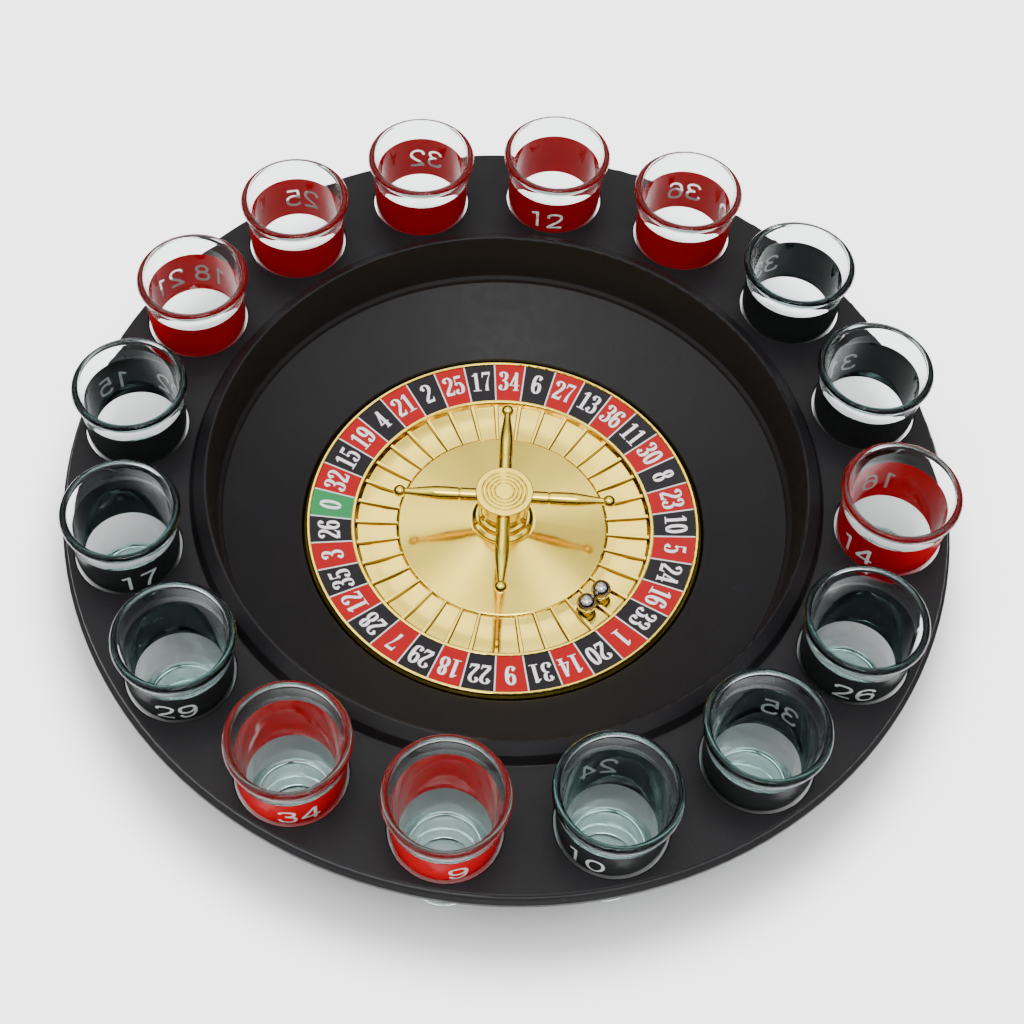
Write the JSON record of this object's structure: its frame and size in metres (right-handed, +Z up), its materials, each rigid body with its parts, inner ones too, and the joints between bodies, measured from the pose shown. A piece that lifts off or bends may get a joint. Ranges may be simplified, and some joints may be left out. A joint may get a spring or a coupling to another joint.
{
  "type": "drinking roulette set",
  "caption": "Round black tray with painted, numbered shot glasses round its rim and a gold numbered roulette wheel that spins in its bowl, with loose chrome balls.",
  "frame": {"origin": "on the surface that the set stands on, on the wheel's spindle axis", "axes": "+Z up along the spindle; -Y towards the side the set is seen from, with +X to the right"},
  "size_m": [0.3014, 0.3014, 0.0595],
  "materials": {
    "tray_plastic": "satin black moulded sheet with fine specks",
    "pin_steel": "turned bright steel",
    "bearing_plastic": "natural white plastic",
    "gold_plating": "moulded plastic with a thin pale gold plating, polished",
    "number_print": "glossy printed ring in red, black and green with pale digits",
    "ball_chrome": "polished steel balls",
    "glass": "clear pressed glass",
    "red_enamel": "glossy red paint fired on the glass",
    "black_enamel": "glossy black paint fired on the glass"
  },
  "bodies": {
    "tray": {"tray": "tray_plastic", "spindle_pin": "pin_steel", "thrust_washer": "bearing_plastic", "retaining_clip": "pin_steel"},
    "wheel": {"wheel": "gold_plating", "number_ring": "number_print", "rotor_bush": "bearing_plastic", "turret_post": "gold_plating", "turret_cap": "gold_plating", "turret_arm_1": "gold_plating", "turret_arm_2": "gold_plating", "turret_arm_3": "gold_plating", "turret_arm_4": "gold_plating"},
    "ball_1": {"ball_1": "ball_chrome"},
    "ball_2": {"ball_2": "ball_chrome"},
    "glass_01": {"glass_01": "glass"},
    "glass_02": {"glass_02": "glass"},
    "glass_03": {"glass_03": "glass"},
    "glass_04": {"glass_04": "glass"},
    "glass_05": {"glass_05": "glass"},
    "glass_06": {"glass_06": "glass"},
    "glass_07": {"glass_07": "glass"},
    "glass_08": {"glass_08": "glass"},
    "glass_09": {"glass_09": "glass"},
    "glass_10": {"glass_10": "glass"},
    "glass_11": {"glass_11": "glass"},
    "glass_12": {"glass_12": "glass"},
    "glass_13": {"glass_13": "glass"},
    "glass_14": {"glass_14": "glass"},
    "glass_15": {"glass_15": "glass"},
    "glass_16": {"glass_16": "glass"}
  },
  "joints": [
    {"name": "wheel_spin", "type": "hinge", "parent": "tray", "child": "wheel", "pos_m": [0, 0, 0], "axis": [0, 0, 1], "continuous": true},
    {"name": "glass_01_lift", "type": "slide", "parent": "tray", "child": "glass_01", "axis": [0, 0, 1], "range_m": [0, 0.07]},
    {"name": "glass_02_lift", "type": "slide", "parent": "tray", "child": "glass_02", "axis": [0, 0, 1], "range_m": [0, 0.07]},
    {"name": "glass_03_lift", "type": "slide", "parent": "tray", "child": "glass_03", "axis": [0, 0, 1], "range_m": [0, 0.07]},
    {"name": "glass_04_lift", "type": "slide", "parent": "tray", "child": "glass_04", "axis": [0, 0, 1], "range_m": [0, 0.07]},
    {"name": "glass_05_lift", "type": "slide", "parent": "tray", "child": "glass_05", "axis": [0, 0, 1], "range_m": [0, 0.07]},
    {"name": "glass_06_lift", "type": "slide", "parent": "tray", "child": "glass_06", "axis": [0, 0, 1], "range_m": [0, 0.07]},
    {"name": "glass_07_lift", "type": "slide", "parent": "tray", "child": "glass_07", "axis": [0, 0, 1], "range_m": [0, 0.07]},
    {"name": "glass_08_lift", "type": "slide", "parent": "tray", "child": "glass_08", "axis": [0, 0, 1], "range_m": [0, 0.07]},
    {"name": "glass_09_lift", "type": "slide", "parent": "tray", "child": "glass_09", "axis": [0, 0, 1], "range_m": [0, 0.07]},
    {"name": "glass_10_lift", "type": "slide", "parent": "tray", "child": "glass_10", "axis": [0, 0, 1], "range_m": [0, 0.07]},
    {"name": "glass_11_lift", "type": "slide", "parent": "tray", "child": "glass_11", "axis": [0, 0, 1], "range_m": [0, 0.07]},
    {"name": "glass_12_lift", "type": "slide", "parent": "tray", "child": "glass_12", "axis": [0, 0, 1], "range_m": [0, 0.07]},
    {"name": "glass_13_lift", "type": "slide", "parent": "tray", "child": "glass_13", "axis": [0, 0, 1], "range_m": [0, 0.07]},
    {"name": "glass_14_lift", "type": "slide", "parent": "tray", "child": "glass_14", "axis": [0, 0, 1], "range_m": [0, 0.07]},
    {"name": "glass_15_lift", "type": "slide", "parent": "tray", "child": "glass_15", "axis": [0, 0, 1], "range_m": [0, 0.07]},
    {"name": "glass_16_lift", "type": "slide", "parent": "tray", "child": "glass_16", "axis": [0, 0, 1], "range_m": [0, 0.07]},
    {"name": "ball_1_lift", "type": "slide", "parent": "wheel", "child": "ball_1", "axis": [0, 0, 1], "range_m": [0, 0.05]},
    {"name": "ball_2_lift", "type": "slide", "parent": "wheel", "child": "ball_2", "axis": [0, 0, 1], "range_m": [0, 0.05]}
  ]
}
